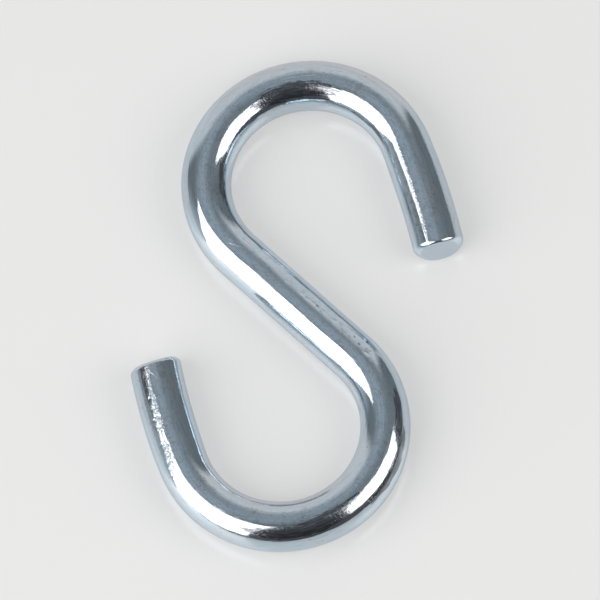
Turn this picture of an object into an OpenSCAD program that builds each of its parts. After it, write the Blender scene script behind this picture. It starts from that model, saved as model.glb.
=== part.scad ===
// S hook bent from one length of round steel wire, lying flat.
// The wire runs: cut end, slightly bowed leg, round loop, straight shank, and the same again turned half round.
// Origin: middle of the shank, on the surface that the hook lies on.
// +Y runs through the centres of the two loops, towards the upper loop, whose mouth opens towards +X.

/* [Wire] */
// Diameter of the wire
wire_d = 5; // [3:0.1:8]

/* [Bends] */
// Inside diameter of each loop
loop_inside_d = 15.45; // [10:0.05:40]
// Angle that each loop turns through, shank to leg
loop_sweep = 206; // [180:0.1:220]
// Radius of the slight bow that is left in the upper leg
upper_bow_r = 90; // [30:1:400]
// Radius of the slight bow that is left in the lower leg
lower_bow_r = 65; // [30:1:400]

/* [Lengths] */
// Straight length of the shank between the two loops
shank_len = 15.8; // [8:0.1:40]
// Length of the upper leg, loop to cut end
upper_leg_len = 11.5; // [4:0.1:20]
// Length of the lower leg, loop to cut end
lower_leg_len = 11.2; // [4:0.1:20]

/* [Cut ends] */
// Slant of the cut on the upper leg, leaning back from its top
upper_cut_slant = 0; // [0:1:30]
// Slant of the cut on the lower leg, leaning back from its top
lower_cut_slant = 18; // [0:1:30]
// Skew of the cut on the lower leg, seen from above, which leaves its inner side longer
lower_cut_skew = 6; // [0:1:15]
// Rounding of the edge of a square cut. A slanted cut keeps it at its tip only
end_round = 0.5; // [0.1:0.05:1]

/* [Hidden] */
$fn = 64;

wire_r = wire_d / 2;
// How far the end's form stands clear of the wire, so that its rounding runs out just before the wire's side
form_clearance = 0.02;

// The path is worked out with the shank along X, from its middle towards the upper loop. Each bend turns right.

// Radius of the wire's centre line round a loop
loop_r = (loop_inside_d + wire_d) / 2;
loop_centre = [shank_len / 2, -loop_r];
// Bearing from a bend's centre where the loop runs on into the leg
loop_end = 90 - loop_sweep;
// Heading of the shank that puts both loop centres on the Y axis
shank_heading = 90 + atan2(loop_r, shank_len / 2);

// Angle that a length of leg turns through
function bow_angle(length, bow_r) = length / bow_r * 180 / PI;

// Moves its children to a point in a coarse and a fine step, which together hold more figures than one
module at(point) {
    coarse = [for (v = point) round(v * 100) / 100];
    translate(coarse) translate(point - coarse) children();
}

// A stretch of wire round a centre, clockwise from a bearing
module bend(centre, radius, bearing, sweep) {
    at(centre) rotate_extrude(start = bearing, angle = -sweep) at([radius, 0]) circle(d = wire_d);
}

module shank() {
    at([-shank_len / 2, 0, 0]) rotate([0, 90, 0]) cylinder(d = wire_d, h = shank_len);
}

// A bowed leg, drawn long and cut to length
module leg(length, bow_r, slant, skew) {
    bow_centre = loop_centre + (loop_r - bow_r) * [cos(loop_end), sin(loop_end)];
    leg_end = loop_end - bow_angle(length, bow_r);
    intersection() {
        bend(bow_centre, bow_r, loop_end, bow_angle(length + wire_d, bow_r));
        translate(bow_centre + bow_r * [cos(leg_end), sin(leg_end)])
            rotate([0, 0, leg_end - 90]) cut_end(length, slant, skew);
    }
}

// All that a cut leaves of a leg that ends at the local origin, heading along +X
module cut_end(length, slant, skew) {
    tip = wire_r * norm([tan(slant) / cos(skew), tan(skew)]);
    reach = 2 * length;
    intersection() {
        translate([tip, 0, 0]) rotate([0, 90, 0]) rotate_extrude() end_profile(reach);
        rotate([0, -slant, skew]) translate([-reach, -reach / 2, -reach / 2]) cube(reach);
    }
}

// Half the section of the end's form: a rounded face at Y = 0, and room for the rest of the leg below it
module end_profile(reach) {
    round_x = wire_r + form_clearance - end_round;
    translate([0, -end_round]) square([round_x, end_round]);
    translate([round_x, -end_round]) circle(r = end_round);
    translate([0, -reach]) square([wire_d, reach - end_round]);
}

// One loop with its leg, carrying on from the end of the shank
module hook_end(leg_len, bow_r, slant, skew) {
    bend(loop_centre, loop_r, 90, loop_sweep);
    leg(leg_len, bow_r, slant, skew);
}

module s_hook() {
    color("lightsteelblue") translate([0, 0, wire_r]) rotate([0, 0, shank_heading]) union() {
        shank();
        hook_end(upper_leg_len, upper_bow_r, upper_cut_slant, 0);
        rotate([0, 0, 180]) hook_end(lower_leg_len, lower_bow_r, lower_cut_slant, lower_cut_skew);
    }
}

s_hook();
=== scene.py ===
import math
from typing import NamedTuple

import bpy
import numpy as np
from bpy.props import FloatProperty, FloatVectorProperty, IntProperty, PointerProperty
from mathutils import Matrix, Vector


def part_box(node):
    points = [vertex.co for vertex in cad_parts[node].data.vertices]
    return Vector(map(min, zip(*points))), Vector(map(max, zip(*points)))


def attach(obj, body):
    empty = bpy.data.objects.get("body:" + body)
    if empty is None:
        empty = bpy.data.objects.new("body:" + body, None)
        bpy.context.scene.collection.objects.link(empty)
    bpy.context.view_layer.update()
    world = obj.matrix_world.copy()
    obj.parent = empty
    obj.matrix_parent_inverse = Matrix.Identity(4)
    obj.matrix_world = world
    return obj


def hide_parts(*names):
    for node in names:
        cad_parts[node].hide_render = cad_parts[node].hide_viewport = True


bl_info = {
    "name": "Zinc S hook",
    "version": (1, 0, 0),
    "blender": (4, 5, 0),
    "location": "3D view > Sidebar > S hook",
    "description": "Bends an S hook from round wire, plates it in bright zinc and lights it on a table",
    "category": "Object",
}

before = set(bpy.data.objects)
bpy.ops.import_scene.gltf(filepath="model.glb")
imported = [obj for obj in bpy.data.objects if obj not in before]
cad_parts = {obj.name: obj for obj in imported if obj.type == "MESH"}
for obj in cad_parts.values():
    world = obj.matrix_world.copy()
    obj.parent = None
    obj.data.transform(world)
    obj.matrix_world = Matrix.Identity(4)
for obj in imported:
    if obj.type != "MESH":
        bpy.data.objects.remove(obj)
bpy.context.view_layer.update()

MM = 0.001
NODE = "s_hook"
BODY = "root"
UV_NAME = "wire"
# The square picture that the camera frames, in pixels
PICTURE_PX = 600


class WireSizes(bpy.types.PropertyGroup):
    """The bent wire, as in the part's own sizes"""

    diameter: FloatProperty(
        name="Wire diameter",
        description="Diameter of the wire, which is how high the lying hook stands",
        default=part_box(NODE)[1][2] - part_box(NODE)[0][2],
        unit="LENGTH",
    )
    loop_inside: FloatProperty(
        name="Loop inside", description="Inside diameter of each loop", default=15.45 * MM, unit="LENGTH"
    )
    loop_sweep: FloatProperty(
        name="Loop sweep",
        description="Angle that each loop turns through, shank to leg",
        default=math.radians(206),
        subtype="ANGLE",
    )
    upper_bow: FloatProperty(
        name="Upper bow",
        description="Radius of the slight bow left in the upper leg",
        default=90 * MM,
        unit="LENGTH",
    )
    lower_bow: FloatProperty(
        name="Lower bow",
        description="Radius of the slight bow left in the lower leg",
        default=65 * MM,
        unit="LENGTH",
    )
    shank: FloatProperty(
        name="Shank", description="Straight length between the two loops", default=15.8 * MM, unit="LENGTH"
    )
    upper_leg: FloatProperty(
        name="Upper leg",
        description="Length of the upper leg, loop to cut",
        default=11.5 * MM,
        unit="LENGTH",
    )
    lower_leg: FloatProperty(
        name="Lower leg",
        description="Length of the lower leg, loop to cut",
        default=11.2 * MM,
        unit="LENGTH",
    )
    upper_slant: FloatProperty(
        name="Upper cut slant",
        description="How far the upper cut leans back from its top",
        default=0,
        subtype="ANGLE",
    )
    lower_slant: FloatProperty(
        name="Lower cut slant",
        description="How far the lower cut leans back from its top",
        default=math.radians(18),
        subtype="ANGLE",
    )
    lower_skew: FloatProperty(
        name="Lower cut skew",
        description="How far the lower cut is out of square, seen from above",
        default=math.radians(6),
        subtype="ANGLE",
    )
    top_round: FloatProperty(
        name="Top rounding",
        description="Rounding of each cut's edge at its top",
        default=0.3 * MM,
        unit="LENGTH",
    )
    side_round: FloatProperty(
        name="Side rounding",
        description="Rounding of each cut's edge at its sides",
        default=0.9 * MM,
        unit="LENGTH",
    )
    spread: FloatProperty(
        name="Leg spread",
        description="How much wider than the wire the legs were pressed, each side",
        default=0.06 * MM,
        unit="LENGTH",
    )
    squeeze: FloatProperty(
        name="Loop squeeze",
        description="How much narrower than the wire the loops were drawn, each side",
        default=0.02 * MM,
        unit="LENGTH",
    )


class ZincFinish(bpy.types.PropertyGroup):
    """The plating and its wear"""

    colour: FloatVectorProperty(
        name="Zinc",
        description="Colour of the bright plating",
        default=(0.555, 0.655, 0.733),
        subtype="COLOR",
        size=3,
    )
    warm: FloatVectorProperty(
        name="Passivated zinc",
        description="Warmer tint where the passivation is thicker",
        default=(0.575, 0.645, 0.708),
        subtype="COLOR",
        size=3,
    )
    # Painted reflection: a yellower tint that stands in for the warm reflection seen on one side of the
    # loops
    painted_warm_reflection: FloatVectorProperty(
        name="Film",
        description="Yellower tint of the plating on one side of the loops",
        default=(0.565, 0.597, 0.632),
        subtype="COLOR",
        size=3,
    )
    streak: FloatVectorProperty(
        name="Streaks",
        description="Dull grey of the streaks and spots in the plating",
        default=(0.28, 0.33, 0.36),
        subtype="COLOR",
        size=3,
    )
    # Dark grey of the scuffs, which is partly painted shade: it stands in for the dark reflection of the
    # room on those patches
    scuff_and_shade_grey: FloatVectorProperty(
        name="Scuffed zinc",
        description="Dark grey where the bending tools rubbed",
        default=(0.17, 0.18, 0.2),
        subtype="COLOR",
        size=3,
    )
    pitted: FloatVectorProperty(
        name="Pits",
        description="Dark grey of the pits in the plating",
        default=(0.2, 0.22, 0.24),
        subtype="COLOR",
        size=3,
    )
    edge: FloatVectorProperty(
        name="Edge",
        description="Tint of the plating where it is seen at a low angle",
        default=(0.87, 0.875, 0.895),
        subtype="COLOR",
        size=3,
    )
    haze: FloatProperty(
        name="Haze",
        description="Roughness of the plating where it is clean",
        default=0.045,
        subtype="FACTOR",
    )
    veil: FloatProperty(
        name="Veil",
        description="Share of the plating that is dulled all over",
        default=0.06,
        subtype="FACTOR",
    )
    dulled: FloatProperty(
        name="Dulled",
        description="Roughness of the plating where it is dulled",
        default=0.32,
        subtype="FACTOR",
    )
    draw_lines: FloatProperty(
        name="Draw lines",
        description="Depth of the lines that the drawing die left along the wire",
        default=0.008 * MM,
        unit="LENGTH",
    )
    bite: FloatProperty(
        name="Bite", description="Depth of the marks of the bending jaw", default=0.012 * MM, unit="LENGTH"
    )
    seed: IntProperty(name="Seed", description="Picks where the small dents fall", default=7)


class Studio(bpy.types.PropertyGroup):
    """Table, lights, room and camera"""

    table: FloatVectorProperty(
        name="Table",
        description="Colour of the table top",
        default=(0.785, 0.825, 0.84),
        subtype="COLOR",
        size=3,
    )
    table_haze: FloatProperty(
        name="Table haze", description="Roughness of the table top", default=0.25, subtype="FACTOR"
    )
    even: FloatVectorProperty(
        name="Table glow",
        description="Even colour that lightens the table top in the picture",
        default=(0.865, 0.85, 0.832),
        subtype="COLOR",
        size=3,
    )
    even_share: FloatProperty(
        name="Glow share",
        description="How much of the table top's look is its even colour",
        default=0.4,
        subtype="FACTOR",
    )
    softbox: FloatProperty(
        name="Softbox", description="Brightness of the two softboxes, where 1 shows as white", default=2.6
    )
    softbox_tint: FloatVectorProperty(
        name="Softbox tint",
        description="Colour of the two softboxes",
        default=(1.07, 1.0, 0.96),
        subtype="COLOR",
        size=3,
    )
    front: FloatVectorProperty(
        name="Room front",
        description="Colour of the room in front of the table",
        default=(0.086, 0.084, 0.09),
        subtype="COLOR",
        size=3,
    )
    back: FloatVectorProperty(
        name="Room back",
        description="Colour of the room behind the table, beside the screen",
        default=(0.193, 0.206, 0.213),
        subtype="COLOR",
        size=3,
    )
    left_wall: FloatVectorProperty(
        name="Left wall",
        description="Colour of the pale wall at the left",
        default=(0.5, 0.54, 0.57),
        subtype="COLOR",
        size=3,
    )
    front_ceiling: FloatVectorProperty(
        name="Front ceiling",
        description="Colour of the ceiling in front of the table",
        default=(0.158, 0.168, 0.177),
        subtype="COLOR",
        size=3,
    )
    left_ceiling: FloatVectorProperty(
        name="Left ceiling",
        description="Colour of the ceiling at the left",
        default=(0.415, 0.455, 0.49),
        subtype="COLOR",
        size=3,
    )
    right_ceiling: FloatVectorProperty(
        name="Right ceiling",
        description="Colour of the ceiling at the right",
        default=(0.245, 0.262, 0.272),
        subtype="COLOR",
        size=3,
    )
    screen: FloatVectorProperty(
        name="Screen",
        description="Colour of the pale screen behind the table",
        default=(0.78, 0.765, 0.76),
        subtype="COLOR",
        size=3,
    )
    azimuth: FloatProperty(
        name="Azimuth",
        description="How far round to the right of the hook's front the camera stands",
        default=math.radians(15.47),
        subtype="ANGLE",
    )
    elevation: FloatProperty(
        name="Elevation",
        description="Angle of the camera above the table",
        default=math.radians(69.66),
        subtype="ANGLE",
    )
    roll: FloatProperty(
        name="Roll",
        description="Turn of the camera about its view",
        default=math.radians(9.9),
        subtype="ANGLE",
    )
    aim: FloatVectorProperty(
        name="Aim",
        description="Point near the middle of the hook that the camera looks at",
        default=(0.39 * MM, 0.52 * MM, 2.65 * MM),
        subtype="TRANSLATION",
        size=3,
    )
    distance: FloatProperty(
        name="Distance", description="Camera to the point that it looks at", default=1.5, unit="LENGTH"
    )
    pixels_per_mm: FloatProperty(
        name="Scale", description="Pixels of the picture to a millimetre at the hook", default=10.165
    )


class Band(NamedTuple):
    """Where something starts, is full, starts to fade and ends"""

    start: float
    full: float
    fade: float
    end: float


class Value:
    """A socket of a node tree. Arithmetic on it adds Math nodes."""

    def __init__(self, nodes, socket):
        self.nodes = nodes
        self.socket = socket

    def output(self, name):
        """Another output of the same node."""
        return Value(self.nodes, self.socket.node.outputs[name])

    def math(self, operation, *inputs):
        return self.nodes.add("ShaderNodeMath", {"operation": operation}, dict(enumerate(inputs)))

    def __add__(self, other):
        return self.math("ADD", self, other)

    def __radd__(self, other):
        return self.math("ADD", other, self)

    def __sub__(self, other):
        return self.math("SUBTRACT", self, other)

    def __rsub__(self, other):
        return self.math("SUBTRACT", other, self)

    def __mul__(self, other):
        return self.math("MULTIPLY", self, other)

    def __rmul__(self, other):
        return self.math("MULTIPLY", other, self)

    def __truediv__(self, other):
        return self.math("DIVIDE", self, other)

    def __rtruediv__(self, other):
        return self.math("DIVIDE", other, self)

    def __abs__(self):
        return self.math("ABSOLUTE", self)

    def cosine(self):
        return self.math("COSINE", self)

    def sine(self):
        return self.math("SINE", self)


class Nodes:
    """Adds nodes to an emptied tree, one call a node."""

    def __init__(self, owner):
        owner.use_nodes = True
        self.tree = owner.node_tree
        self.tree.nodes.clear()

    def add(self, kind, settings=None, inputs=None, output=0):
        """A node of a kind, with its settings and the values or links of its sockets."""
        node = self.tree.nodes.new(kind)
        for name, setting in (settings or {}).items():
            setattr(node, name, setting)
        for key, value in (inputs or {}).items():
            if isinstance(value, Value):
                self.tree.links.new(value.socket, node.inputs[key])
            else:
                node.inputs[key].default_value = value
        return Value(self, node.outputs[output]) if node.outputs else None

    def smooth(self, value, low, high):
        """0 at low, 1 at high and an easy curve between, whichever of the two is larger."""
        return self.add(
            "ShaderNodeMapRange",
            {"interpolation_type": "SMOOTHSTEP"},
            {"Value": value, "From Min": low, "From Max": high},
        )

    def band(self, value, band):
        """1 where a band is full, and 0 outside it."""
        return self.smooth(value, band.start, band.full) * self.smooth(value, band.end, band.fade)

    def mix(self, factor, first, second):
        """One colour changing to another, each a value or three numbers."""
        first, second = (side if isinstance(side, Value) else (*side, 1) for side in (first, second))
        return self.add(
            "ShaderNodeMix",
            {"data_type": "RGBA"},
            {"Factor": factor, 6: first, 7: second},
            output=2,
        )

    def vector(self, x, y, z):
        return self.add("ShaderNodeCombineXYZ", None, {"X": x, "Y": y, "Z": z})

    def dot(self, vector, direction):
        """How far a vector reaches in a direction."""
        return self.add(
            "ShaderNodeVectorMath",
            {"operation": "DOT_PRODUCT"},
            {0: vector, 1: direction},
            output="Value",
        )

    def noise(self, place, scale, detail, roughness):
        return self.add(
            "ShaderNodeTexNoise",
            None,
            {"Vector": place, "Scale": scale, "Detail": detail, "Roughness": roughness},
        )

    def bump(self, height, depth, normal=None):
        """A dent map, with its height from 0 to 1 standing for the depth."""
        links = {"Height": height, "Strength": 1.0, "Distance": depth}
        if normal:
            links["Normal"] = normal
        return self.add("ShaderNodeBump", None, links)


def together(values):
    """The sum of several values."""
    first, *rest = values
    return sum(rest, first)


# The wire's path


def smoothstep(value, low, high):
    t = np.clip((value - low) / (high - low), 0, 1)
    return t * t * (3 - 2 * t)


def within(value, band):
    """1 where a band is full, and 0 outside it."""
    return smoothstep(value, band.start, band.full) * (1 - smoothstep(value, band.fade, band.end))


def hump(offset, reach):
    """1 in the middle, and falling away on both sides."""
    return np.exp(-((offset / reach) ** 2))


def centre_line(along, wire):
    """Places and headings of the wire's centre line, by distance from the middle of the shank."""
    loop_r = (wire.loop_inside + wire.diameter) / 2
    half_shank = wire.shank / 2
    away = np.abs(along)
    turned = np.clip((away - half_shank) / loop_r, 0, wire.loop_sweep)
    bow = np.where(along < 0, wire.lower_bow, wire.upper_bow)
    bowed = np.maximum(away - half_shank - loop_r * wire.loop_sweep, 0) / bow
    leg = wire.loop_sweep + bowed
    x = np.minimum(away, half_shank) + loop_r * np.sin(turned)
    x = x + bow * (np.sin(leg) - math.sin(wire.loop_sweep))
    y = loop_r * (np.cos(turned) - 1) + bow * (np.cos(leg) - math.cos(wire.loop_sweep))
    heading = math.pi / 2 + math.atan2(loop_r, half_shank)
    side = np.sign(along)
    place = np.stack(
        [
            side * (x * math.cos(heading) - y * math.sin(heading)),
            side * (x * math.sin(heading) + y * math.cos(heading)),
        ],
        axis=-1,
    )
    return place, heading - turned - bowed


def wire_ends(wire):
    """Distances of the lower and the upper cut from the middle of the shank."""
    loop_len = (wire.loop_inside + wire.diameter) / 2 * wire.loop_sweep
    reach = wire.shank / 2 + loop_len
    return -reach - wire.lower_leg, reach + wire.upper_leg


# Marks in the wire. Lengths are in mm. Distances along the wire start at the middle of the shank, unless
# they are said to start at the lower cut. Angles round the wire are in degrees, with 90 on top.


class JawStrip(NamedTuple):
    """A row of bites: its start and end from the lower cut, the angles there, their stray and how many"""

    start: float
    end: float
    start_turn: float
    end_turn: float
    stray: float
    count: int


JAW_STRIPS = (
    JawStrip(0.7, 1.4, 108, 108, 4.0, 10),
    JawStrip(1.2, 4.3, 107, 108, 0.8, 9),
    JawStrip(4.1, 8.1, 111, 114, 6.0, 85),
    JawStrip(8.0, 9.4, 114, 117, 2.5, 12),
    JawStrip(9.2, 12.6, 119, 124, 4.5, 60),
)
# Size of a bite along the wire, its size round it as times that, and its depth as a share of the deepest
BITE_SIZE = (0.07, 0.15)
BITE_STRETCH = (1, 2)
BITE_SHARE = (0.25, 1.0)


class Scratch(NamedTuple):
    """A scratch, by the place and the angle of each end"""

    start: float
    start_turn: float
    end: float
    end_turn: float


# The scratches that are cut into the wire: one runs off the first bite, and is placed from the lower cut
BITE_SCRATCH = Scratch(1.0, 108, 2.8, 87)
BITE_SCRATCH_DEPTH = 0.018
BEND_SCRATCH = Scratch(8.7, 79, 7.3, 97)
BEND_SCRATCH_DEPTH = 0.02
SCRATCH_WIDTH = 0.1
# Shares of a scratch's length over which its ends fade, and the height, place and sharpness of its burrs
SCRATCH_RUN_IN = (-0.05, 0.15)
BURR_HEIGHT = 0.6
BURR_PLACE = 1.4
BURR_SHARPNESS = 3

# The scratches that show in the plating
SCRATCHES = (
    Scratch(8.7, 79, 7.4, 96),
    Scratch(9.3, 84, 8.4, 92),
    Scratch(-54.9, 108, -53.0, 87),
    Scratch(29.0, 88, 33.5, 84),
    Scratch(26.5, 96, 31.0, 93),
    Scratch(36.4, 92, 37.0, 89),
)


class ScuffAndShade(NamedTuple):
    """A patch that a bending tool rubbed, darkened also with painted shade: its middle and reach along the
    wire, and the same round it
    """

    middle: float
    reach: float
    turn: float
    turn_reach: float


# Scuffed patches; their dark colour is partly painted shade where the wire reflects the dark room
SCUFF_AND_SHADE_PATCHES = (
    ScuffAndShade(30.5, 5.5, 118, 22),
    ScuffAndShade(-31.0, 5.0, 125, 15),
    ScuffAndShade(-27.4, 3.6, 108, 12),
    ScuffAndShade(-20.5, 4.0, 142, 14),
    ScuffAndShade(16.0, 3.5, 132, 10),
    ScuffAndShade(40.5, 4.0, 146, 8),
    ScuffAndShade(-53.4, 2.8, 121, 9),
    ScuffAndShade(-15.8, 2.6, 126, 12),
)

# Waves of the drawn wire: how many, the pitch along it, the lobes round it and the height of each
WAVE_COUNT = 10
WAVE_PITCH = (5, 16)
WAVE_LOBES = (1, 5)
WAVE_HEIGHT = 0.0015

# Where the sides change from round to squeezed at the start of a loop, and to spread at its end
SQUEEZE_RUN = 6
SPREAD_RUN = (-2, 4)

# Flat that a die left along the shank, with a line beside it that comes nearer as it goes up
FLAT_STRETCH = Band(-11, -9, 2, 4.5)
FLAT_TURN = 108
FLAT_REACH = 9
FLAT_DEPTH = 0.02
LINE_SPAN = (-9.5, 2.6)
LINE_TURNS = (131, 118)
LINE_REACH = 3.5
LINE_DEPTH = 0.014

# Pits in the flat: how many, where they lie, the middle and the stray of their angles, their size and depth
PIT_COUNT = 18
PIT_SPAN = (-9.5, 0)
PIT_TURN = 111
PIT_STRAY = 3
PIT_SIZE = (0.12, 0.2)
PIT_STRETCH = 1.3
PIT_DEPTH = (0.015, 0.03)

# Nicks all over: how many, their size round the wire, their size along it as times that, and their depth
NICK_COUNT = 90
NICK_SIZE = (0.08, 0.2)
NICK_STRETCH = (1, 3)
NICK_DEPTH = (0.004, 0.012)


def dent(along, turn, place, size, depth, radius):
    """A hollow at a place (distance along, angle round), with a size along and round the wire."""
    across = (turn - place[1]) * radius
    return -depth * np.exp(-(((along - place[0]) / size[0]) ** 2) - (across / size[1]) ** 2)


def groove(along, turn, scratch, origin, depth, radius):
    """A scratch with a burr on both sides, fading at both ends, with its distances taken from an origin."""
    start = np.array([origin + scratch.start * MM, math.radians(scratch.start_turn) * radius])
    end = np.array([origin + scratch.end * MM, math.radians(scratch.end_turn) * radius])
    length = np.linalg.norm(end - start)
    run = (end - start) / length
    u = along - start[0]
    v = turn * radius - start[1]
    down = (u * run[0] + v * run[1]) / length
    off = (u * run[1] - v * run[0]) / (SCRATCH_WIDTH * MM)
    fade = smoothstep(down, *SCRATCH_RUN_IN) * smoothstep(1 - down, *SCRATCH_RUN_IN)
    burr = BURR_HEIGHT * np.exp(-((np.abs(off) - BURR_PLACE) ** 2) * BURR_SHARPNESS)
    return depth * fade * (burr - hump(off, 1))


def drawn_waves(along, turn, draw):
    """Faint waves along and round the wire."""
    height = np.zeros_like(along)
    for _ in range(WAVE_COUNT):
        pitch = draw.uniform(*WAVE_PITCH) * MM
        lobes = draw.integers(*WAVE_LOBES)
        start = draw.uniform(0, math.tau)
        height += WAVE_HEIGHT * MM * np.sin(along / pitch * math.tau + lobes * turn + start)
    return height


def pressed_sides(along, turn, wire):
    """Legs a little wider than the wire, and loops a little narrower."""
    away = np.abs(along)
    bend_start = wire.shank / 2
    bend_end = wire_ends(wire)[1] - wire.upper_leg
    in_leg = smoothstep(away, bend_end + SPREAD_RUN[0] * MM, bend_end + SPREAD_RUN[1] * MM)
    in_loop = smoothstep(away, bend_start, bend_start + SQUEEZE_RUN * MM) * (1 - in_leg)
    return (wire.spread * in_leg - wire.squeeze * in_loop) * np.cos(turn) ** 2


def jaw_bites(along, turn, wire, finish, draw):
    """Bites of the bending jaw along the lower leg."""
    lower_end, _ = wire_ends(wire)
    height = np.zeros_like(along)
    for strip in JAW_STRIPS:
        for _ in range(strip.count):
            share = draw.uniform(0, 1)
            place = lower_end + (strip.start + share * (strip.end - strip.start)) * MM
            middle = strip.start_turn + share * (strip.end_turn - strip.start_turn)
            there = (place, math.radians(middle + draw.normal(0, strip.stray)))
            size = draw.uniform(*BITE_SIZE) * MM
            deep = finish.bite * draw.uniform(*BITE_SHARE)
            sizes = (size, size * draw.uniform(*BITE_STRETCH))
            height += dent(along, turn, there, sizes, deep, wire.diameter / 2)
    return height


def shank_flat(along, turn):
    """The flat along the shank and the line beside it."""
    line_turn = np.interp(along / MM, LINE_SPAN, LINE_TURNS)
    degrees = np.degrees(turn)
    flat = FLAT_DEPTH * hump(degrees - FLAT_TURN, FLAT_REACH)
    line = LINE_DEPTH * hump(degrees - line_turn, LINE_REACH)
    return -(flat + line) * MM * within(along / MM, FLAT_STRETCH)


def shank_pits(along, turn, wire, draw):
    """Pits in the flat along the shank."""
    height = np.zeros_like(along)
    for _ in range(PIT_COUNT):
        place = (draw.uniform(*PIT_SPAN) * MM, math.radians(draw.normal(PIT_TURN, PIT_STRAY)))
        size = draw.uniform(*PIT_SIZE) * MM
        deep = draw.uniform(*PIT_DEPTH) * MM
        height += dent(along, turn, place, (size * PIT_STRETCH, size), deep, wire.diameter / 2)
    return height


def nicks(along, turn, wire, draw):
    """Small nicks all over the wire."""
    height = np.zeros_like(along)
    for _ in range(NICK_COUNT):
        place = (draw.uniform(*wire_ends(wire)), draw.uniform(0, math.tau))
        size = draw.uniform(*NICK_SIZE) * MM
        sizes = (size * draw.uniform(*NICK_STRETCH), size)
        deep = draw.uniform(*NICK_DEPTH) * MM
        height += dent(along, turn, place, sizes, deep, wire.diameter / 2)
    return height


def relief(along, turn, wire, finish):
    """Height of the surface above a perfect wire, with its small marks drawn from the seed."""
    draw = np.random.default_rng(finish.seed)
    radius = wire.diameter / 2
    lower_end, _ = wire_ends(wire)
    height = drawn_waves(along, turn, draw)
    height += pressed_sides(along, turn, wire)
    height += jaw_bites(along, turn, wire, finish, draw)
    height += groove(along, turn, BITE_SCRATCH, lower_end, BITE_SCRATCH_DEPTH * MM, radius)
    height += shank_flat(along, turn)
    height += shank_pits(along, turn, wire, draw)
    height += groove(along, turn, BEND_SCRATCH, 0, BEND_SCRATCH_DEPTH * MM, radius)
    height += nicks(along, turn, wire, draw)
    return height


# The wire's mesh

# Points round a ring, and rings on a cut's face, on its rounded edge and on the short straight below that
AROUND = 150
FACE_RINGS = 9
EDGE_RINGS = 11
STRAIGHT_RINGS = 3
# Smallest and largest ring of a cut's face, as shares of the face
FACE_SPAN = (0.04, 0.96)
# Length of the lower leg that has fine rings, where those of the shank start and end, and the steps (mm)
FINE_LEG = 14
FINE_SHANK = (-11, 9)
LEG_STEP = 0.09
SHANK_STEP = 0.12
LOOP_STEP = 0.3
# Length of wire over which its rings lean with a slanted cut (mm)
LEAN_REACH = 4


def wire_stations(wire):
    """Distances along the wire of the rings of its side, closest together where its marks are."""
    lower_end, upper_end = wire_ends(wire)
    first = lower_end + wire.side_round
    last = upper_end - wire.side_round
    leg = np.arange(first, lower_end + FINE_LEG * MM, LEG_STEP * MM)
    loop = np.arange(leg[-1], FINE_SHANK[0] * MM, LOOP_STEP * MM)[1:]
    shank = np.arange(loop[-1], FINE_SHANK[1] * MM, SHANK_STEP * MM)[1:]
    rest = np.arange(shank[-1], last, LOOP_STEP * MM)[1:-1]
    return np.concatenate([leg, loop, shank, rest, [last]])


def end_rings(wire, turn):
    """Depths below a cut, and radii, of the rings of one end: face, rounded edge and short straight."""
    radius = wire.diameter / 2
    # The rounding is widest at the sides of the wire
    rounding = wire.top_round + (wire.side_round - wire.top_round) * np.cos(turn) ** 2
    face_r = np.linspace(*FACE_SPAN, FACE_RINGS)[:, None] * (radius - rounding)
    steps = np.linspace(0, math.pi / 2, EDGE_RINGS)[:, None]
    edge_r = radius - rounding * (1 - np.sin(steps))
    edge_in = rounding * (1 - np.cos(steps))
    shares = np.linspace(0, 1, STRAIGHT_RINGS + 2)[1:-1, None]
    straight_in = edge_in[-1] + shares * (wire.side_round - edge_in[-1])
    depth = np.concatenate([np.zeros_like(face_r), edge_in, straight_in])
    ring_r = np.concatenate([face_r, edge_r, np.full_like(straight_in, radius)])
    return depth, ring_r


def wire_rings(wire):
    """Distance along, angle round and radius at each point of the rings of a plain wire with square cuts."""
    lower_end, upper_end = wire_ends(wire)
    turn = np.arange(AROUND) / AROUND * math.tau
    end_in, end_r = end_rings(wire, turn)
    side = np.repeat(wire_stations(wire)[:, None], AROUND, axis=1)
    along = np.concatenate([lower_end + end_in, side, upper_end - end_in[::-1]])
    ring_r = np.concatenate([end_r, np.full_like(side, wire.diameter / 2), end_r[::-1]])
    return along, np.repeat(turn[None, :], len(along), axis=0), ring_r


def lean_cuts(along, turn, ring_r, wire):
    """Distances along the wire once the cuts lean back from their tops, and the rings near them as well."""
    lower_end, upper_end = wire_ends(wire)
    reach = LEAN_REACH * MM
    near_lower = smoothstep(lower_end + reach - along, 0, reach)
    near_upper = smoothstep(along - upper_end + reach, 0, reach)
    slant = near_lower * math.tan(wire.lower_slant) - near_upper * math.tan(wire.upper_slant)
    skew = near_lower * math.tan(wire.lower_skew)
    return along + slant * ring_r * np.sin(turn) - skew * ring_r * np.cos(turn)


def ring_points(along, turn, ring_r, wire):
    """Places of the points of the rings, and last the middle of each cut."""
    radius = wire.diameter / 2
    place, heading = centre_line(along, wire)
    points = np.stack(
        [
            place[..., 0] - ring_r * np.cos(turn) * np.sin(heading),
            place[..., 1] + ring_r * np.cos(turn) * np.cos(heading),
            radius + ring_r * np.sin(turn),
        ],
        axis=-1,
    )
    middles = []
    for end in wire_ends(wire):
        (x, y), _ = centre_line(np.array(end), wire)
        middles.append((x, y, radius))
    return np.vstack([points.reshape(-1, 3), middles])


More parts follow.
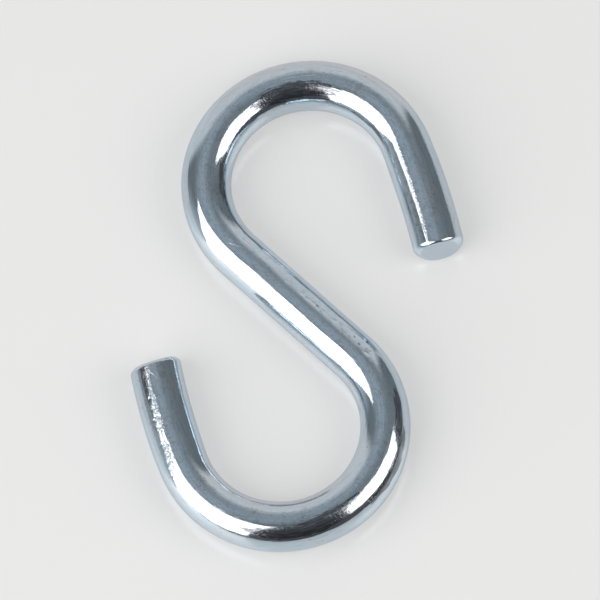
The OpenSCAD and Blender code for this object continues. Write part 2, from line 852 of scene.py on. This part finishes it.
def ring_faces(count):
    """Faces between a number of rings, and then a fan on each cut."""
    i, j = np.meshgrid(np.arange(count - 1), np.arange(AROUND), indexing="ij")
    k = (j + 1) % AROUND
    corners = [i * AROUND + j, i * AROUND + k, (i + 1) * AROUND + k, (i + 1) * AROUND + j]
    faces = [tuple(face) for face in np.stack(corners, axis=-1).reshape(-1, 4).tolist()]
    lower_middle = count * AROUND
    upper_middle = lower_middle + 1
    upper_ring = lower_middle - AROUND
    faces += [(lower_middle, (a + 1) % AROUND, a) for a in range(AROUND)]
    faces += [(upper_middle, upper_ring + a, upper_ring + (a + 1) % AROUND) for a in range(AROUND)]
    return faces


def map_wire(mesh, along, wire):
    """Adds a map with U along the wire and V round it, both from 0 to 1, from the place of each ring."""
    lower_end, upper_end = wire_ends(wire)
    corner = np.empty(len(mesh.loops), dtype=np.int32)
    mesh.loops.foreach_get("vertex_index", corner)
    u = np.append(np.repeat(along, AROUND), [lower_end, upper_end])[corner]
    v = np.append(np.tile(np.arange(AROUND), len(along)), [0, 0])[corner] / AROUND
    # The faces that close a ring end at 1, and not at 0
    side_v = v[: (len(along) - 1) * AROUND * 4].reshape(-1, 4)
    side_v[side_v[:, 0] > side_v[:, 1], 1:3] = 1.0
    layer = mesh.uv_layers.new(name=UV_NAME)
    layer.data.foreach_set("uv", np.stack([(u - lower_end) / (upper_end - lower_end), v], axis=-1).ravel())


def wire_mesh(name, wire, finish):
    """The skin of the bent wire, with its cut faces, tool marks and a map along and round it."""
    radius = wire.diameter / 2
    along, turn, ring_r = wire_rings(wire)
    leaning = lean_cuts(along, turn, ring_r, wire)
    on_side = smoothstep(ring_r, radius - wire.top_round, radius)
    marked_r = ring_r + on_side * relief(leaning, turn, wire, finish)

    mesh = bpy.data.meshes.new(name)
    mesh.from_pydata(ring_points(leaning, turn, marked_r, wire).tolist(), [], ring_faces(len(along)))
    mesh.validate()
    mesh.polygons.foreach_set("use_smooth", [True] * len(mesh.polygons))
    map_wire(mesh, along.mean(axis=1), wire)
    mesh.update()
    return mesh


# The plating. Lengths and angles are as for the marks in the wire.


class DrawnNoise(NamedTuple):
    """A noise drawn out along the wire: scale along (a mm) and across (a radius), detail and roughness"""

    along: float
    across: float
    detail: float
    roughness: float


class EvenNoise(NamedTuple):
    """A noise that is alike in all directions: its scale (a metre), its detail and roughness"""

    scale: float
    detail: float
    roughness: float


DIE_LINES = DrawnNoise(0.16, 9.0, 3.0, 0.6)
STREAKS = DrawnNoise(0.45, 14.0, 3.0, 0.65)
FINE_LINES = DrawnNoise(0.7, 26.0, 2.0, 0.5)
FLAKES = DrawnNoise(0.8, 16.0, 3.0, 0.6)
CLOUD = EvenNoise(330.0, 3.0, 0.55)
MOTTLE = EvenNoise(1500.0, 3.0, 0.6)
GRAIN = EvenNoise(4500.0, 2.0, 0.6)
SPOT_SCALE = 1500.0
NOISE_MIDDLE = 0.5

# Distances from a cut over which the marks start, so that its face stays clean
FACE_MARGIN = (0.2, 0.6)
# Top of the wire, clear of its paler sides
TOP_SIDE = Band(60.0, 78.0, 130.0, 150.0)
# Painted warm reflection: a yellower tint on one side of the loops, where they reflect the warm back of the
# room: angles, and distances either way
PAINTED_REFLECTION_SIDE = Band(2.0, 18.0, 50.0, 74.0)
PAINTED_REFLECTION_STRETCH = Band(19.0, 28.0, 37.0, 46.0)
# Length of bend over which wrinkles start, and the heights over which they do, in radii of the wire
WRINKLE_RUN = 6.0
WRINKLE_RISE = (0.3, 0.8)

# Stretch of the flat that has pits in its plating, and how far off their middle angle they end
FLAT_PITS = Band(-10.0, -8.5, -1.5, 1.0)
FLAT_PITS_OFF = (7.0, 4.0)

# Strip that the jaw roughened, from the lower cut: its angle there, its drift a mm and a square mm
JAW_STRETCH = Band(0.4, 0.9, 11.5, 13.0)
JAW_TURN = 107.5
JAW_DRIFT = 0.35
JAW_CURL = 0.08
# A thin strip with a spot at the cut and two broad stretches, and the half widths that each adds
JAW_SPOT = (1.7, 1.2)
JAW_BROAD = Band(3.8, 4.4, 7.6, 8.2)
JAW_BROAD_AGAIN = (9.0, 9.6)
JAW_THIN_HALF = 1.5
JAW_SPOT_HALF = 4.0
JAW_BROAD_HALF = 7.0
# Line rubbed along the upper leg
RUB_STRETCH = Band(42.0, 45.0, 54.0, 55.6)
RUB_TURN = 112.0
RUB_HALF = 4.5
RUB_SHARE = 0.14
# How ragged the sides of a strip are, and the shares of its half width over which it fades
STRIP_RAGGED = 1.5
STRIP_FADE = (0.5, 1.0)

# How ragged the edges of a scuff and its painted shade are, and the shares of its reach, squared, over which
# it fades
SCUFF_AND_SHADE_RAGGED = 2.2
SCUFF_AND_SHADE_FADE = (0.68, 0.9)
# How far a scratch wavers, its half widths, squared, over which it fades, and the shares of its length
SCRATCH_WAVER = 0.12
SCRATCH_FADE = (0.001, 0.006)
SCRATCH_STRETCH = Band(0.0, 0.15, 0.8, 1.0)

# Levels of the noises between which a mark goes from none to full
TINT_LEVELS = (0.42, 0.66)
PIT_CLOUD_LEVELS = (0.5, 0.62)
SMALL_PIT_LEVELS = (0.2, 0.08)
LARGE_PIT_LEVELS = (0.28, 0.16)
STREAK_LEVELS = (0.52, 0.7)
SPECK_LEVELS = (0.48, 0.66)
MOTTLE_LEVELS = (0.5, 0.68)
RAISED_LEVELS = (0.46, 0.58)
FLAKE_LEVELS = (0.6, 0.66)
SCUFF_GRAIN_LEVELS = (0.5, 0.66)
JAW_GRAIN_LEVELS = (0.42, 0.6)

# How much of the zinc's colour each mark takes, and how much of a scuff is left bright by its raised flakes
STREAK_SHARE = 0.3
FINE_LINE_SHARE = 0.2
SPECK_SHARE = 0.22
MOTTLE_SHARE = 0.2
CLOUDY_MOTTLE_SHARE = 0.3
# Share of dark grey in a scuff, part real wear and part painted shade
SCUFF_SHADE_SHARE = 0.88
RAISED_SHARE = 0.35
PIT_SHARE = 0.5
FLAT_PIT_SHARE = 0.4
# What each mark adds to the roughness, and how much of a scratch is dulled
LINE_ROUGH = 0.03
TINT_ROUGH = 0.03
PIT_ROUGH = 0.12
JAW_ROUGH = 0.1
SCRATCH_DULL = 0.8
# Depths of the plating's relief: of the finer lines as shares of the draw lines, and of the rest
FINE_LINE_RELIEF = 0.3
WRINKLE_RELIEF = 0.6
MOTTLE_RELIEF = 0.002
GRAIN_RELIEF = 0.0012
RAISED_RELIEF = 0.001
FLAKE_RELIEF = 0.0012
SCUFF_GRAIN_RELIEF = 0.0032
SCRATCH_RELIEF = 0.008
JAW_RELIEF = 0.04
PIT_RELIEF = 0.004


class Skin:
    """Where a point of the plating lies, along and round the wire, and the noises there."""

    def __init__(self, nodes, wire):
        lower_end, upper_end = wire_ends(wire)
        length = (upper_end - lower_end) / MM
        uv = nodes.add("ShaderNodeUVMap", {"uv_map": UV_NAME})
        along_share = nodes.add("ShaderNodeSeparateXYZ", None, {"Vector": uv})
        round_share = along_share.output("Y")
        turn = round_share * math.tau
        self.from_cut = along_share * length
        self.from_middle = self.from_cut + lower_end / MM
        self.away = abs(self.from_middle)
        self.degrees = round_share * 360.0
        self.across = turn.cosine()
        self.above = turn.sine()
        start, full = FACE_MARGIN
        self.off_faces = nodes.band(self.from_cut, Band(start, full, length - full, length - start))

        self.lines = self.drawn(nodes, DIE_LINES)
        self.streaks = self.drawn(nodes, STREAKS)
        self.fine_lines = self.drawn(nodes, FINE_LINES)
        self.flakes = self.drawn(nodes, FLAKES)
        self.place = nodes.add("ShaderNodeTexCoord").output("Object")
        self.cloud = nodes.noise(self.place, *CLOUD)
        self.mottle = nodes.noise(self.place, *MOTTLE)
        self.grain = nodes.noise(self.place, *GRAIN)
        self.tint = nodes.smooth(self.cloud, *TINT_LEVELS)

    def drawn(self, nodes, noise):
        """A noise that is long along the wire and narrow across it."""
        ring = (self.across * noise.across, self.above * noise.across)
        place = nodes.vector(self.from_cut * noise.along, *ring)
        return nodes.noise(place, 1.0, noise.detail, noise.roughness)


class Marks(NamedTuple):
    """Where each kind of mark shows in the plating, from 0 to 1"""

    pits: Value
    flat_pits: Value
    jaw: Value
    rub: Value
    scuff_and_shade: Value
    raised: Value
    scratch: Value


def plating_pits(nodes, skin):
    """Pits of the cloudy stretches and the flat together, and those of the flat alone."""
    spots = nodes.add(
        "ShaderNodeTexVoronoi",
        {"feature": "F1"},
        {"Vector": skin.place, "Scale": SPOT_SCALE, "Randomness": 1.0},
    )
    in_flat = nodes.band(skin.from_middle, FLAT_PITS)
    in_flat = in_flat * nodes.smooth(abs(skin.degrees - PIT_TURN), *FLAT_PITS_OFF)
    flat_pits = nodes.smooth(spots, *LARGE_PIT_LEVELS) * in_flat
    cloudy = nodes.smooth(skin.cloud, *PIT_CLOUD_LEVELS)
    return nodes.smooth(spots, *SMALL_PIT_LEVELS) * cloudy + flat_pits, flat_pits


def ragged_strip(nodes, skin, turn, half):
    """A strip along the wire, at an angle round it and with a half width."""
    off = abs(skin.degrees - turn) / half + (skin.mottle - NOISE_MIDDLE) * STRIP_RAGGED
    return 1.0 - nodes.smooth(off, *STRIP_FADE)


def jaw_strip(nodes, skin):
    """The strip along the lower leg that the bending jaw roughened."""
    along = skin.from_cut
    turn = JAW_TURN + along * JAW_DRIFT + along * along * JAW_CURL
    broad = nodes.band(along, JAW_BROAD) + nodes.smooth(along, *JAW_BROAD_AGAIN)
    spot = nodes.smooth(along, *JAW_SPOT)
    half = JAW_THIN_HALF + broad * JAW_BROAD_HALF + spot * JAW_SPOT_HALF
    return nodes.band(along, JAW_STRETCH) * ragged_strip(nodes, skin, turn, half)


def rubbed_line(nodes, skin):
    """The thinner line that was rubbed along the upper leg."""
    return nodes.band(skin.from_middle, RUB_STRETCH) * ragged_strip(nodes, skin, RUB_TURN, RUB_HALF)


def scuffs_and_shade(nodes, skin):
    """Flaky patches where the bending tools rubbed, darkened also with painted shade, clear of the cut
    faces.
    """
    ragged = (skin.flakes - NOISE_MIDDLE) * SCUFF_AND_SHADE_RAGGED
    patches = []
    for scuff_and_shade in SCUFF_AND_SHADE_PATCHES:
        down = (skin.from_middle - scuff_and_shade.middle) / scuff_and_shade.reach
        aside = (skin.degrees - scuff_and_shade.turn) / scuff_and_shade.turn_reach
        patches.append(1.0 - nodes.smooth(down * down + aside * aside + ragged, *SCUFF_AND_SHADE_FADE))
    return nodes.smooth(together(patches), 0.0, 1.0) * skin.off_faces


def fine_scratches(nodes, skin, wire):
    """Scratches that waver and fade at their ends."""
    degree = wire.diameter / 2 / MM * math.radians(1)
    waver = (skin.mottle - NOISE_MIDDLE) * SCRATCH_WAVER
    lines = []
    for scratch in SCRATCHES:
        run_u = scratch.end - scratch.start
        run_v = (scratch.end_turn - scratch.start_turn) * degree
        length = math.hypot(run_u, run_v)
        u = skin.from_middle - scratch.start
        v = (skin.degrees - scratch.start_turn) * degree
        down = (u * run_u + v * run_v) / (length * length)
        aside = (u * run_v - v * run_u) / length + waver
        line = 1.0 - nodes.smooth(aside * aside, *SCRATCH_FADE)
        lines.append(line * nodes.band(down, SCRATCH_STRETCH))
    return together(lines)


def plating_marks(nodes, skin, wire):
    pits, flat_pits = plating_pits(nodes, skin)
    return Marks(
        pits=pits,
        flat_pits=flat_pits,
        jaw=jaw_strip(nodes, skin),
        rub=rubbed_line(nodes, skin),
        scuff_and_shade=scuffs_and_shade(nodes, skin),
        raised=nodes.smooth(skin.flakes, *RAISED_LEVELS),
        scratch=fine_scratches(nodes, skin, wire),
    )


def zinc_colour(nodes, skin, marks, finish):
    """Bluish zinc, warmer in clouds, with a painted warm reflection on one side of the loops, and darker in
    streaks, in scuffs that also carry painted shade, and in pits.
    """
    # Painted warm reflection on the side of the loops that faces the back of the room
    painted_warm_reflection = nodes.band(skin.degrees, PAINTED_REFLECTION_SIDE) * nodes.band(skin.away, PAINTED_REFLECTION_STRETCH)
    top_side = nodes.band(skin.degrees, TOP_SIDE) * skin.off_faces
    streaks = nodes.smooth(skin.streaks, *STREAK_LEVELS) * STREAK_SHARE
    fine_lines = nodes.smooth(skin.fine_lines, *STREAK_LEVELS) * FINE_LINE_SHARE
    specks = nodes.smooth(skin.grain, *SPECK_LEVELS) * top_side * SPECK_SHARE
    mottle = nodes.smooth(skin.mottle, *MOTTLE_LEVELS) * top_side
    # Dark grey of the scuffs: real wear together with painted shade
    scuff_and_shade = marks.scuff_and_shade * (1.0 - marks.raised * RAISED_SHARE) * SCUFF_SHADE_SHARE

    colour = nodes.mix(skin.tint, finish.colour, finish.warm)
    colour = nodes.mix(painted_warm_reflection, colour, finish.painted_warm_reflection)
    colour = nodes.mix((streaks + fine_lines) * skin.off_faces + specks, colour, finish.streak)
    colour = nodes.mix(mottle * (MOTTLE_SHARE + skin.tint * CLOUDY_MOTTLE_SHARE), colour, finish.streak)
    colour = nodes.mix(scuff_and_shade, colour, finish.scuff_and_shade_grey)
    return nodes.mix(marks.pits * PIT_SHARE + marks.flat_pits * FLAT_PIT_SHARE, colour, finish.pitted)


def zinc_roughness(skin, marks, finish):
    """Roughness of the bright plating."""
    rough = finish.haze + skin.lines * LINE_ROUGH + skin.tint * TINT_ROUGH
    return rough + marks.pits * PIT_ROUGH + marks.jaw * JAW_ROUGH


def zinc_normal(nodes, skin, marks, wire, finish):
    """Relief of the plating: lines along the wire, wrinkles in its bends, grain, flakes, scratches, pits."""
    bend_start = wire.shank / 2 / MM
    bent = nodes.smooth(skin.away, bend_start, bend_start + WRINKLE_RUN)
    wrinkles = skin.streaks * bent * nodes.smooth(skin.above, *WRINKLE_RISE)
    flakes = nodes.smooth(skin.flakes, *FLAKE_LEVELS)
    scuff_grain = nodes.smooth(skin.grain, *SCUFF_GRAIN_LEVELS)
    jaw_grain = nodes.smooth(skin.grain, *JAW_GRAIN_LEVELS)
    heights = (
        (skin.lines, finish.draw_lines),
        (skin.fine_lines, finish.draw_lines * FINE_LINE_RELIEF),
        (wrinkles, finish.draw_lines * WRINKLE_RELIEF),
        (skin.mottle, MOTTLE_RELIEF * MM),
        (skin.grain, GRAIN_RELIEF * MM),
        (marks.raised * marks.scuff_and_shade, RAISED_RELIEF * MM),
        (flakes * marks.scuff_and_shade, FLAKE_RELIEF * MM),
        (scuff_grain * marks.scuff_and_shade, SCUFF_GRAIN_RELIEF * MM),
        (1.0 - marks.scratch, SCRATCH_RELIEF * MM),
        (jaw_grain * (marks.jaw + marks.rub * RUB_SHARE), JAW_RELIEF * MM),
        (1.0 - marks.pits, PIT_RELIEF * MM),
    )
    normal = None
    for height, depth in heights:
        normal = nodes.bump(height, depth, normal)
    return normal


def zinc_material(wire, finish):
    """Bright zinc plating over drawn wire, with a thin dull veil that is thicker along the scratches."""
    material = bpy.data.materials.new("bright_zinc")
    nodes = Nodes(material)
    skin = Skin(nodes, wire)
    marks = plating_marks(nodes, skin, wire)
    plating = {
        "Base Color": zinc_colour(nodes, skin, marks, finish),
        "Metallic": 1.0,
        "Specular Tint": (*finish.edge, 1),
        "Normal": zinc_normal(nodes, skin, marks, wire, finish),
    }
    rough = zinc_roughness(skin, marks, finish)
    bright = nodes.add("ShaderNodeBsdfPrincipled", None, {**plating, "Roughness": rough})
    dull = nodes.add("ShaderNodeBsdfPrincipled", None, {**plating, "Roughness": finish.dulled})
    veil = finish.veil + marks.scratch * SCRATCH_DULL
    shader = nodes.add("ShaderNodeMixShader", None, {0: veil, 1: bright, 2: dull})
    nodes.add("ShaderNodeOutputMaterial", None, {"Surface": shader})
    return material


class HOOK_OT_bend_wire(bpy.types.Operator):
    """Bend and plate the wire, in place of the plain solid"""

    bl_idname = "hook.bend_wire"
    bl_label = "Bend the wire"

    def execute(self, context):
        wire = context.scene.hook_wire
        finish = context.scene.hook_finish
        piece = bpy.data.objects.new("bent_wire", wire_mesh("bent_wire", wire, finish))
        context.scene.collection.objects.link(piece)
        piece.data.materials.append(zinc_material(wire, finish))
        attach(piece, BODY)
        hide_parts(NODE)
        return {"FINISHED"}


# The stage. Lengths are in metres, with +X to the right, +Y to the back and +Z up.

TABLE_HALF = 3.0
TABLE_IOR = 1.7
TABLE_SHEEN = 1.0
VIEW_END = 20


class Softbox(NamedTuple):
    """A flat rectangular light: its middle, the way its width runs, the way it faces, width and height"""

    name: str
    place: tuple
    right: tuple
    facing: tuple
    width: float
    height: float


SOFTBOXES = (
    Softbox(
        name="left_softbox",
        place=(-0.477, -0.354, 0.369),
        right=(0.811, -0.56, 0.169),
        facing=(0.514, 0.543, -0.664),
        width=0.794,
        height=0.832,
    ),
    Softbox(
        name="right_softbox",
        place=(0.52, -0.051, 0.466),
        right=(0.342, -0.377, -0.861),
        facing=(-0.807, 0.351, -0.475),
        width=0.553,
        height=0.569,
    ),
)

RIGHT = (1, 0, 0)
BACK = (0, 1, 0)
UP = (0, 0, 1)
# The way from the hook to the pale wall, and the ways across the screen's left and right edges
LEFT_WALL_WAY = (-0.906, -0.423, 0)
SCREEN_LEFT_WAY = (0.375, 0.927, -0.3)
SCREEN_RIGHT_WAY = (-0.866, 0.5, 0)
# How far a view reaches in one of these ways where one part of the room gives way to the next
FRONT_TO_BACK = (-0.3, 0.3)
LEFT_WALL_EDGE = (0.73, 1.0)
RIGHT_TO_LEFT = (0.3, -0.3)
CEILING_FRONT_TO_BACK = (-0.35, 0.1)
WALLS_TO_CEILING = (0.5, 0.95)
SCREEN_TOP = (0.9, 0.55)
SCREEN_LEFT = (-0.1, 0.1)
SCREEN_RIGHT = (-0.07, 0.07)


def table_material(studio):
    """Pale table top, of which the camera and the metal partly see an even colour, for a pale picture."""
    material = bpy.data.materials.new("pale_table")
    nodes = Nodes(material)
    matt = nodes.add(
        "ShaderNodeBsdfPrincipled",
        None,
        {
            "Base Color": (*studio.table, 1),
            "Roughness": studio.table_haze,
            "IOR": TABLE_IOR,
            "Specular IOR Level": TABLE_SHEEN,
        },
    )
    even = nodes.add("ShaderNodeEmission", None, {"Color": (*studio.even, 1), "Strength": 1.0})
    ray = nodes.add("ShaderNodeLightPath")
    seen = ray.output("Is Camera Ray") + ray.output("Is Glossy Ray") + ray.output("Is Transmission Ray")
    share = nodes.smooth(seen, 0.0, 1.0) * studio.even_share
    shader = nodes.add("ShaderNodeMixShader", None, {0: share, 1: matt, 2: even})
    nodes.add("ShaderNodeOutputMaterial", None, {"Surface": shader})
    return material


def add_table(context, studio):
    half = TABLE_HALF
    corners = [(-half, -half, 0), (half, -half, 0), (half, half, 0), (-half, half, 0)]
    mesh = bpy.data.meshes.new("table")
    mesh.from_pydata(corners, [], [(0, 1, 2, 3)])
    table = bpy.data.objects.new("table", mesh)
    context.scene.collection.objects.link(table)
    mesh.materials.append(table_material(studio))


def add_softbox(context, box, studio):
    light = bpy.data.lights.new(box.name, "AREA")
    light.shape = "RECTANGLE"
    light.size = box.width
    light.size_y = box.height
    light.color = studio.softbox_tint
    light.energy = studio.softbox * math.pi * box.width * box.height
    lamp = bpy.data.objects.new(box.name, light)
    back = -Vector(box.facing).normalized()
    across = Vector(box.right)
    across = (across - across.dot(back) * back).normalized()
    up = back.cross(across)
    lamp.matrix_world = Matrix.Translation(box.place) @ Matrix((across, up, back)).transposed().to_4x4()
    lamp.visible_camera = False
    context.scene.collection.objects.link(lamp)


def light_room(context, studio):
    """A dim room: dark in front of the table, pale at the left, grey overhead, with a pale screen behind."""
    world = bpy.data.worlds.new("room")
    context.scene.world = world
    nodes = Nodes(world)
    view = nodes.add("ShaderNodeTexCoord")
    right = nodes.dot(view, RIGHT)
    back = nodes.dot(view, BACK)
    up = nodes.dot(view, UP)

    walls = nodes.mix(nodes.smooth(back, *FRONT_TO_BACK), studio.front, studio.back)
    walls = nodes.mix(nodes.smooth(nodes.dot(view, LEFT_WALL_WAY), *LEFT_WALL_EDGE), walls, studio.left_wall)
    ceiling = nodes.mix(nodes.smooth(right, *RIGHT_TO_LEFT), studio.right_ceiling, studio.left_ceiling)
    ceiling = nodes.mix(nodes.smooth(back, *CEILING_FRONT_TO_BACK), studio.front_ceiling, ceiling)
    room = nodes.mix(nodes.smooth(up, *WALLS_TO_CEILING), walls, ceiling)

    screen = nodes.smooth(up, *SCREEN_TOP)
    screen = screen * nodes.smooth(nodes.dot(view, SCREEN_LEFT_WAY), *SCREEN_LEFT)
    screen = screen * nodes.smooth(nodes.dot(view, SCREEN_RIGHT_WAY), *SCREEN_RIGHT)
    room = nodes.mix(screen, room, studio.screen)
    light = nodes.add("ShaderNodeBackground", None, {"Color": room, "Strength": 1.0})
    nodes.add("ShaderNodeOutputWorld", None, {"Surface": light})


def add_camera(context, studio):
    across = Vector((math.cos(studio.azimuth), math.sin(studio.azimuth), 0))
    front = Vector((math.sin(studio.azimuth), -math.cos(studio.azimuth), 0))
    towards = math.cos(studio.elevation) * front + math.sin(studio.elevation) * Vector(UP)
    data = bpy.data.cameras.new("camera")
    data.lens = studio.pixels_per_mm / MM * studio.distance / PICTURE_PX * data.sensor_width
    data.clip_end = VIEW_END
    camera = bpy.data.objects.new("camera", data)
    level = Matrix((across, towards.cross(across), towards)).transposed()
    turned = level @ Matrix.Rotation(-studio.roll, 3, "Z")
    place = Vector(studio.aim) + studio.distance * towards
    camera.matrix_world = Matrix.Translation(place) @ turned.to_4x4()
    context.scene.collection.objects.link(camera)
    context.scene.camera = camera


class HOOK_OT_set_stage(bpy.types.Operator):
    """Set the table, the room, the softboxes and the camera"""

    bl_idname = "hook.set_stage"
    bl_label = "Set the stage"

    def execute(self, context):
        studio = context.scene.hook_studio
        add_table(context, studio)
        light_room(context, studio)
        for box in SOFTBOXES:
            add_softbox(context, box, studio)
        add_camera(context, studio)
        context.scene.view_settings.view_transform = "Standard"
        return {"FINISHED"}


class HOOK_PT_sidebar(bpy.types.Panel):
    """Sizes, finish and stage of the S hook"""

    bl_idname = "HOOK_PT_sidebar"
    bl_label = "S hook"
    bl_space_type = "VIEW_3D"
    bl_region_type = "UI"
    bl_category = "S hook"

    def draw(self, context):
        scene = context.scene
        for group, operator in (
            (scene.hook_wire, None),
            (scene.hook_finish, HOOK_OT_bend_wire.bl_idname),
            (scene.hook_studio, HOOK_OT_set_stage.bl_idname),
        ):
            column = self.layout.column()
            for name in group.__annotations__:
                column.prop(group, name)
            if operator:
                column.operator(operator)


GROUPS = {"hook_wire": WireSizes, "hook_finish": ZincFinish, "hook_studio": Studio}
CLASSES = (*GROUPS.values(), HOOK_OT_bend_wire, HOOK_OT_set_stage, HOOK_PT_sidebar)


def register():
    for kind in CLASSES:
        bpy.utils.register_class(kind)
    for name, group in GROUPS.items():
        setattr(bpy.types.Scene, name, PointerProperty(type=group))


def unregister():
    for name in GROUPS:
        delattr(bpy.types.Scene, name)
    for kind in reversed(CLASSES):
        bpy.utils.unregister_class(kind)


def main():
    register()
    bpy.ops.hook.bend_wire()
    bpy.ops.hook.set_stage()


if __name__ == "__main__":
    main()
